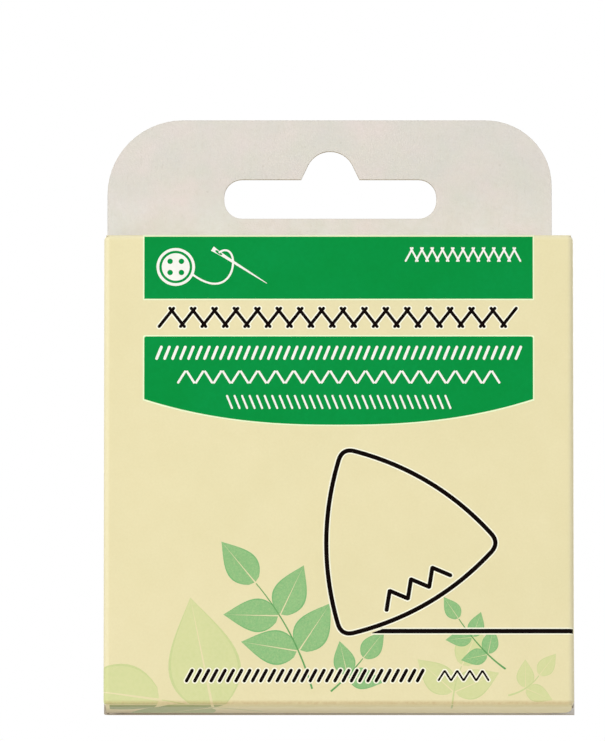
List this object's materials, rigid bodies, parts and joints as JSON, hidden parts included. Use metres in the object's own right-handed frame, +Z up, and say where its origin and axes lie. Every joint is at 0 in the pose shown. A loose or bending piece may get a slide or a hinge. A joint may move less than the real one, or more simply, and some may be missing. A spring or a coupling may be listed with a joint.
{
  "type": "tailor's chalk in a hang-tab carton",
  "caption": "Flat printed folding carton with a slotted hang tab and tuck closures at both ends, holding a rounded triangle of tailor's chalk.",
  "frame": {"origin": "middle of the carton's base, where it stands", "axes": "+Z up to the hang tab, -Y out of the printed front, +X to the right seen from the front"},
  "size_m": [0.0706, 0.009, 0.0908],
  "materials": {
    "printed_board": "matte",
    "bare_board": "matte",
    "chalk": "matte"
  },
  "bodies": {
    "carton": {"back_panel": "bare_board", "front_panel": "printed_board", "left_side_panel": "printed_board", "right_side_panel": "printed_board", "glue_flap": "bare_board"},
    "top_closure": {"top_closure": "printed_board"},
    "top_tuck_flap": {"top_tuck_flap": "printed_board"},
    "top_left_dust_flap": {"top_left_dust_flap": "printed_board"},
    "top_right_dust_flap": {"top_right_dust_flap": "printed_board"},
    "bottom_closure": {"bottom_closure": "printed_board"},
    "bottom_tuck_flap": {"bottom_tuck_flap": "printed_board"},
    "bottom_left_dust_flap": {"bottom_left_dust_flap": "printed_board"},
    "bottom_right_dust_flap": {"bottom_right_dust_flap": "printed_board"},
    "chalk": {"chalk": "chalk"}
  },
  "joints": [
    {"name": "top_closure_swing", "type": "hinge", "parent": "carton", "child": "top_closure", "pos_m": [0, -0.00424, 0.07154], "axis": [1, 0, 0], "range_deg": [0, 115]},
    {"name": "top_tuck_fold", "type": "hinge", "parent": "top_closure", "child": "top_tuck_flap", "pos_m": [0, 0.00258, 0.07118], "axis": [1, 0, 0], "range_deg": [-87, 0]},
    {"name": "top_left_dust_fold", "type": "hinge", "parent": "carton", "child": "top_left_dust_flap", "pos_m": [-0.03463, 0, 0.07058], "axis": [0, 1, 0], "range_deg": [0, 70]},
    {"name": "top_right_dust_fold", "type": "hinge", "parent": "carton", "child": "top_right_dust_flap", "pos_m": [0.03463, 0, 0.07058], "axis": [0, -1, 0], "range_deg": [0, 70]},
    {"name": "bottom_closure_swing", "type": "hinge", "parent": "carton", "child": "bottom_closure", "pos_m": [0, -0.00424, 0.00026], "axis": [-1, 0, 0], "range_deg": [0, 115]},
    {"name": "bottom_tuck_fold", "type": "hinge", "parent": "bottom_closure", "child": "bottom_tuck_flap", "pos_m": [0, 0.00258, 0.00062], "axis": [-1, 0, 0], "range_deg": [-87, 0]},
    {"name": "bottom_left_dust_fold", "type": "hinge", "parent": "carton", "child": "bottom_left_dust_flap", "pos_m": [-0.03463, 0, 0.00122], "axis": [0, -1, 0], "range_deg": [0, 70]},
    {"name": "bottom_right_dust_fold", "type": "hinge", "parent": "carton", "child": "bottom_right_dust_flap", "pos_m": [0.03463, 0, 0.00122], "axis": [0, 1, 0], "range_deg": [0, 70]},
    {"name": "chalk_slide", "type": "slide", "parent": "carton", "child": "chalk", "axis": [0, 0, 1], "range_m": [0, 0.0175]}
  ],
  "couplings": [
    {"joint": "top_tuck_fold", "follows": "top_closure_swing", "ratio": -0.75},
    {"joint": "bottom_tuck_fold", "follows": "bottom_closure_swing", "ratio": -0.75}
  ]
}
